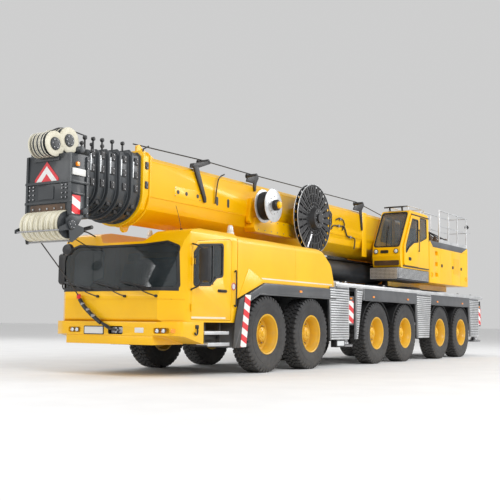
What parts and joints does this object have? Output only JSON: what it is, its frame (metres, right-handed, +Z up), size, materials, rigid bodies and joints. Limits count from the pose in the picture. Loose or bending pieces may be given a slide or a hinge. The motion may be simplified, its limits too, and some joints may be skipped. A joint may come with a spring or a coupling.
{
  "type": "six-axle mobile crane with telescopic boom",
  "caption": "Road-going mobile crane: carrier with steered wheels, outriggers and driver cab, slewing superstructure with operator cab, lift cylinder and telescopic boom.",
  "frame": {"origin": "on the ground, under the middle of the overall length and width", "axes": "+X forward towards the carrier cab and boom head, +Y to the left, +Z up"},
  "size_m": [16.82, 3.28, 4],
  "materials": {
    "crane_yellow": "glossy yellow paint",
    "dark_steel": "satin dark grey paint",
    "boom_grey": "satin grey paint",
    "tyre": "matt rubber",
    "rim_yellow": "glossy yellow paint",
    "deck_aluminium": "checker plate and dark skirts",
    "bright_steel": "ground and plated",
    "reel_black": "matt black",
    "sheave_nylon": "cream nylon",
    "seat_fabric": "woven cloth",
    "cab_glass": "tinted",
    "black_rubber": "matt",
    "lamp_plastic": "clear coloured lens"
  },
  "bodies": {
    "carrier": {"chassis_frame": "dark_steel", "deck_and_fenders": "deck_aluminium", "carrier_cab": "crane_yellow", "cab_interior": "seat_fabric", "engine_hood": "crane_yellow", "engine_block": "dark_steel", "axles_front": "dark_steel", "axles_rear": "dark_steel"},
    "knuckle_1_left": {"knuckle_1_left": "dark_steel"},
    "wheel_1_left": {"wheel_1_left": "tyre"},
    "knuckle_1_right": {"knuckle_1_right": "dark_steel"},
    "wheel_1_right": {"wheel_1_right": "tyre"},
    "knuckle_2_left": {"knuckle_2_left": "dark_steel"},
    "wheel_2_left": {"wheel_2_left": "tyre"},
    "knuckle_2_right": {"knuckle_2_right": "dark_steel"},
    "wheel_2_right": {"wheel_2_right": "tyre"},
    "knuckle_3_left": {"knuckle_3_left": "dark_steel"},
    "wheel_3_left": {"wheel_3_left": "tyre"},
    "knuckle_3_right": {"knuckle_3_right": "dark_steel"},
    "wheel_3_right": {"wheel_3_right": "tyre"},
    "knuckle_4_left": {"knuckle_4_left": "dark_steel"},
    "wheel_4_left": {"wheel_4_left": "tyre"},
    "knuckle_4_right": {"knuckle_4_right": "dark_steel"},
    "wheel_4_right": {"wheel_4_right": "tyre"},
    "knuckle_5_left": {"knuckle_5_left": "dark_steel"},
    "wheel_5_left": {"wheel_5_left": "tyre"},
    "knuckle_5_right": {"knuckle_5_right": "dark_steel"},
    "wheel_5_right": {"wheel_5_right": "tyre"},
    "knuckle_6_left": {"knuckle_6_left": "dark_steel"},
    "wheel_6_left": {"wheel_6_left": "tyre"},
    "knuckle_6_right": {"knuckle_6_right": "dark_steel"},
    "wheel_6_right": {"wheel_6_right": "tyre"},
    "carrier_door_left": {"carrier_door_left": "crane_yellow"},
    "carrier_door_right": {"carrier_door_right": "crane_yellow"},
    "outrigger_beam_front_left": {"outrigger_beam_front_left": "dark_steel"},
    "outrigger_jack_front_left": {"outrigger_jack_front_left": "bright_steel"},
    "outrigger_beam_front_right": {"outrigger_beam_front_right": "dark_steel"},
    "outrigger_jack_front_right": {"outrigger_jack_front_right": "bright_steel"},
    "outrigger_beam_rear_left": {"outrigger_beam_rear_left": "dark_steel"},
    "outrigger_jack_rear_left": {"outrigger_jack_rear_left": "bright_steel"},
    "outrigger_beam_rear_right": {"outrigger_beam_rear_right": "dark_steel"},
    "outrigger_jack_rear_right": {"outrigger_jack_rear_right": "bright_steel"},
    "superstructure": {"superstructure": "dark_steel", "machinery_housing": "crane_yellow", "crane_cab": "crane_yellow", "crane_cab_seat": "seat_fabric"},
    "crane_cab_door": {"crane_cab_door": "crane_yellow"},
    "boom": {"base_boom": "crane_yellow"},
    "boom_section_1": {"boom_section_1": "boom_grey"},
    "boom_section_2": {"boom_section_2": "boom_grey"},
    "boom_section_3": {"boom_section_3": "boom_grey"},
    "boom_section_4": {"boom_section_4": "boom_grey"},
    "boom_section_5": {"boom_section_5": "boom_grey"},
    "boom_head": {"boom_head": "boom_grey"},
    "head_sheaves": {"head_sheaves": "sheave_nylon"},
    "lift_cylinder_barrel": {"lift_cylinder_barrel": "dark_steel"},
    "lift_cylinder_rod": {"lift_cylinder_rod": "bright_steel"},
    "hose_reel": {"hose_reel": "reel_black"},
    "cable_drum": {"cable_drum": "reel_black"},
    "hoist_winch_drum": {"hoist_winch_drum": "dark_steel"}
  },
  "joints": [
    {"name": "steer_1_left", "type": "hinge", "parent": "carrier", "child": "knuckle_1_left", "pos_m": [4, 1.05, 0.685], "axis": [0, 0, 1], "range_deg": [-35, 35]},
    {"name": "roll_1_left", "type": "hinge", "parent": "knuckle_1_left", "child": "wheel_1_left", "pos_m": [4, 1.1825, 0.685], "axis": [0, 1, 0], "continuous": true},
    {"name": "steer_1_right", "type": "hinge", "parent": "carrier", "child": "knuckle_1_right", "pos_m": [4, -1.05, 0.685], "axis": [0, 0, 1], "range_deg": [-35, 35]},
    {"name": "roll_1_right", "type": "hinge", "parent": "knuckle_1_right", "child": "wheel_1_right", "pos_m": [4, -1.1825, 0.685], "axis": [0, 1, 0], "continuous": true},
    {"name": "steer_2_left", "type": "hinge", "parent": "carrier", "child": "knuckle_2_left", "pos_m": [2.35, 1.05, 0.685], "axis": [0, 0, 1], "range_deg": [-27.3, 27.3]},
    {"name": "roll_2_left", "type": "hinge", "parent": "knuckle_2_left", "child": "wheel_2_left", "pos_m": [2.35, 1.1825, 0.685], "axis": [0, 1, 0], "continuous": true},
    {"name": "steer_2_right", "type": "hinge", "parent": "carrier", "child": "knuckle_2_right", "pos_m": [2.35, -1.05, 0.685], "axis": [0, 0, 1], "range_deg": [-27.3, 27.3]},
    {"name": "roll_2_right", "type": "hinge", "parent": "knuckle_2_right", "child": "wheel_2_right", "pos_m": [2.35, -1.1825, 0.685], "axis": [0, 1, 0], "continuous": true},
    {"name": "steer_3_left", "type": "hinge", "parent": "carrier", "child": "knuckle_3_left", "pos_m": [-0.745, 1.05, 0.685], "axis": [0, 0, 1], "range_deg": [-14.7, 14.7]},
    {"name": "roll_3_left", "type": "hinge", "parent": "knuckle_3_left", "child": "wheel_3_left", "pos_m": [-0.745, 1.1825, 0.685], "axis": [0, 1, 0], "continuous": true},
    {"name": "steer_3_right", "type": "hinge", "parent": "carrier", "child": "knuckle_3_right", "pos_m": [-0.745, -1.05, 0.685], "axis": [0, 0, 1], "range_deg": [-14.7, 14.7]},
    {"name": "roll_3_right", "type": "hinge", "parent": "knuckle_3_right", "child": "wheel_3_right", "pos_m": [-0.745, -1.1825, 0.685], "axis": [0, 1, 0], "continuous": true},
    {"name": "steer_4_left", "type": "hinge", "parent": "carrier", "child": "knuckle_4_left", "pos_m": [-2.395, 1.05, 0.685], "axis": [0, 0, 1], "range_deg": [-8.75, 8.75]},
    {"name": "roll_4_left", "type": "hinge", "parent": "knuckle_4_left", "child": "wheel_4_left", "pos_m": [-2.395, 1.1825, 0.685], "axis": [0, 1, 0], "continuous": true},
    {"name": "steer_4_right", "type": "hinge", "parent": "carrier", "child": "knuckle_4_right", "pos_m": [-2.395, -1.05, 0.685], "axis": [0, 0, 1], "range_deg": [-8.75, 8.75]},
    {"name": "roll_4_right", "type": "hinge", "parent": "knuckle_4_right", "child": "wheel_4_right", "pos_m": [-2.395, -1.1825, 0.685], "axis": [0, 1, 0], "continuous": true},
    {"name": "steer_5_left", "type": "hinge", "parent": "carrier", "child": "knuckle_5_left", "pos_m": [-4.775, 1.05, 0.685], "axis": [0, 0, 1], "range_deg": [-18.75, 18.75]},
    {"name": "roll_5_left", "type": "hinge", "parent": "knuckle_5_left", "child": "wheel_5_left", "pos_m": [-4.775, 1.1825, 0.685], "axis": [0, 1, 0], "continuous": true},
    {"name": "steer_5_right", "type": "hinge", "parent": "carrier", "child": "knuckle_5_right", "pos_m": [-4.775, -1.05, 0.685], "axis": [0, 0, 1], "range_deg": [-18.75, 18.75]},
    {"name": "roll_5_right", "type": "hinge", "parent": "knuckle_5_right", "child": "wheel_5_right", "pos_m": [-4.775, -1.1825, 0.685], "axis": [0, 1, 0], "continuous": true},
    {"name": "steer_6_left", "type": "hinge", "parent": "carrier", "child": "knuckle_6_left", "pos_m": [-6.425, 1.05, 0.685], "axis": [0, 0, 1], "range_deg": [-25, 25]},
    {"name": "roll_6_left", "type": "hinge", "parent": "knuckle_6_left", "child": "wheel_6_left", "pos_m": [-6.425, 1.1825, 0.685], "axis": [0, 1, 0], "continuous": true},
    {"name": "steer_6_right", "type": "hinge", "parent": "carrier", "child": "knuckle_6_right", "pos_m": [-6.425, -1.05, 0.685], "axis": [0, 0, 1], "range_deg": [-25, 25]},
    {"name": "roll_6_right", "type": "hinge", "parent": "knuckle_6_right", "child": "wheel_6_right", "pos_m": [-6.425, -1.1825, 0.685], "axis": [0, 1, 0], "continuous": true},
    {"name": "carrier_door_left_swing", "type": "hinge", "parent": "carrier", "child": "carrier_door_left", "pos_m": [6.3, 1.3443, 0.92], "axis": [0, 0, -1], "range_deg": [0, 75]},
    {"name": "carrier_door_right_swing", "type": "hinge", "parent": "carrier", "child": "carrier_door_right", "pos_m": [6.3, -1.3443, 0.92], "axis": [0, 0, 1], "range_deg": [0, 75]},
    {"name": "beam_slide_front_left", "type": "slide", "parent": "carrier", "child": "outrigger_beam_front_left", "axis": [0, 1, 0], "range_m": [0, 1.8]},
    {"name": "jack_slide_front_left", "type": "slide", "parent": "outrigger_beam_front_left", "child": "outrigger_jack_front_left", "axis": [0, 0, -1], "range_m": [0, 0.6]},
    {"name": "beam_slide_front_right", "type": "slide", "parent": "carrier", "child": "outrigger_beam_front_right", "axis": [0, -1, 0], "range_m": [0, 1.8]},
    {"name": "jack_slide_front_right", "type": "slide", "parent": "outrigger_beam_front_right", "child": "outrigger_jack_front_right", "axis": [0, 0, -1], "range_m": [0, 0.6]},
    {"name": "beam_slide_rear_left", "type": "slide", "parent": "carrier", "child": "outrigger_beam_rear_left", "axis": [0, 1, 0], "range_m": [0, 1.8]},
    {"name": "jack_slide_rear_left", "type": "slide", "parent": "outrigger_beam_rear_left", "child": "outrigger_jack_rear_left", "axis": [0, 0, -1], "range_m": [0, 0.6]},
    {"name": "beam_slide_rear_right", "type": "slide", "parent": "carrier", "child": "outrigger_beam_rear_right", "axis": [0, -1, 0], "range_m": [0, 1.8]},
    {"name": "jack_slide_rear_right", "type": "slide", "parent": "outrigger_beam_rear_right", "child": "outrigger_jack_rear_right", "axis": [0, 0, -1], "range_m": [0, 0.6]},
    {"name": "slew", "type": "hinge", "parent": "carrier", "child": "superstructure", "pos_m": [-4.2, 0, 1.7403], "axis": [0, 0, 1], "continuous": true},
    {"name": "crane_cab_door_slide", "type": "slide", "parent": "superstructure", "child": "crane_cab_door", "axis": [-1, 0, 0], "range_m": [0, 0.68]},
    {"name": "boom_luff", "type": "hinge", "parent": "superstructure", "child": "boom", "pos_m": [-6, 0, 3], "axis": [0, -1, 0], "range_deg": [0, 83]},
    {"name": "telescope_1", "type": "slide", "parent": "boom", "child": "boom_section_1", "axis": [1, 0, 0], "range_m": [0, 10.7]},
    {"name": "telescope_2", "type": "slide", "parent": "boom_section_1", "child": "boom_section_2", "axis": [1, 0, 0], "range_m": [0, 10.7]},
    {"name": "telescope_3", "type": "slide", "parent": "boom_section_2", "child": "boom_section_3", "axis": [1, 0, 0], "range_m": [0, 10.7]},
    {"name": "telescope_4", "type": "slide", "parent": "boom_section_3", "child": "boom_section_4", "axis": [1, 0, 0], "range_m": [0, 10.7]},
    {"name": "telescope_5", "type": "slide", "parent": "boom_section_4", "child": "boom_section_5", "axis": [1, 0, 0], "range_m": [0, 10.7]},
    {"name": "telescope_6", "type": "slide", "parent": "boom_section_5", "child": "boom_head", "axis": [1, 0, 0], "range_m": [0, 10.7]},
    {"name": "head_sheaves_turn", "type": "hinge", "parent": "boom_head", "child": "head_sheaves", "pos_m": [8.13, 0, 2.3], "axis": [0, 1, 0], "continuous": true},
    {"name": "lift_barrel_swing", "type": "hinge", "parent": "superstructure", "child": "lift_cylinder_barrel", "pos_m": [-3.9, 0, 2.17], "axis": [0, -1, 0], "range_deg": [0, 94.32]},
    {"name": "lift_rod_slide", "type": "slide", "parent": "lift_cylinder_barrel", "child": "lift_cylinder_rod", "axis": [1, 0, -0.0047], "range_m": [0, 2.8]},
    {"name": "hose_reel_turn", "type": "hinge", "parent": "boom", "child": "hose_reel", "pos_m": [1.5, 0.76, 3.07], "axis": [0, 1, 0], "continuous": true},
    {"name": "cable_drum_turn", "type": "hinge", "parent": "boom", "child": "cable_drum", "pos_m": [3.23, 0.76, 3.14], "axis": [0, 1, 0], "continuous": true},
    {"name": "hoist_winch_drum_turn", "type": "hinge", "parent": "superstructure", "child": "hoist_winch_drum", "pos_m": [-6.78, 0, 2.42], "axis": [0, 1, 0], "continuous": true}
  ],
  "couplings": [
    {"joint": "steer_1_right", "follows": "steer_1_left", "ratio": 1},
    {"joint": "steer_2_left", "follows": "steer_1_left", "ratio": 0.78},
    {"joint": "steer_2_right", "follows": "steer_1_left", "ratio": 0.78},
    {"joint": "steer_3_left", "follows": "steer_1_left", "ratio": 0.42},
    {"joint": "steer_3_right", "follows": "steer_1_left", "ratio": 0.42},
    {"joint": "steer_4_left", "follows": "steer_6_left", "ratio": 0.35},
    {"joint": "steer_4_right", "follows": "steer_6_left", "ratio": 0.35},
    {"joint": "steer_5_left", "follows": "steer_6_left", "ratio": 0.75},
    {"joint": "steer_5_right", "follows": "steer_6_left", "ratio": 0.75},
    {"joint": "steer_6_right", "follows": "steer_6_left", "ratio": 1},
    {"joint": "lift_barrel_swing", "follows": "boom_luff", "ratio": 1.1339},
    {"joint": "lift_rod_slide", "follows": "boom_luff", "m_per_rad": 1.9292}
  ]
}
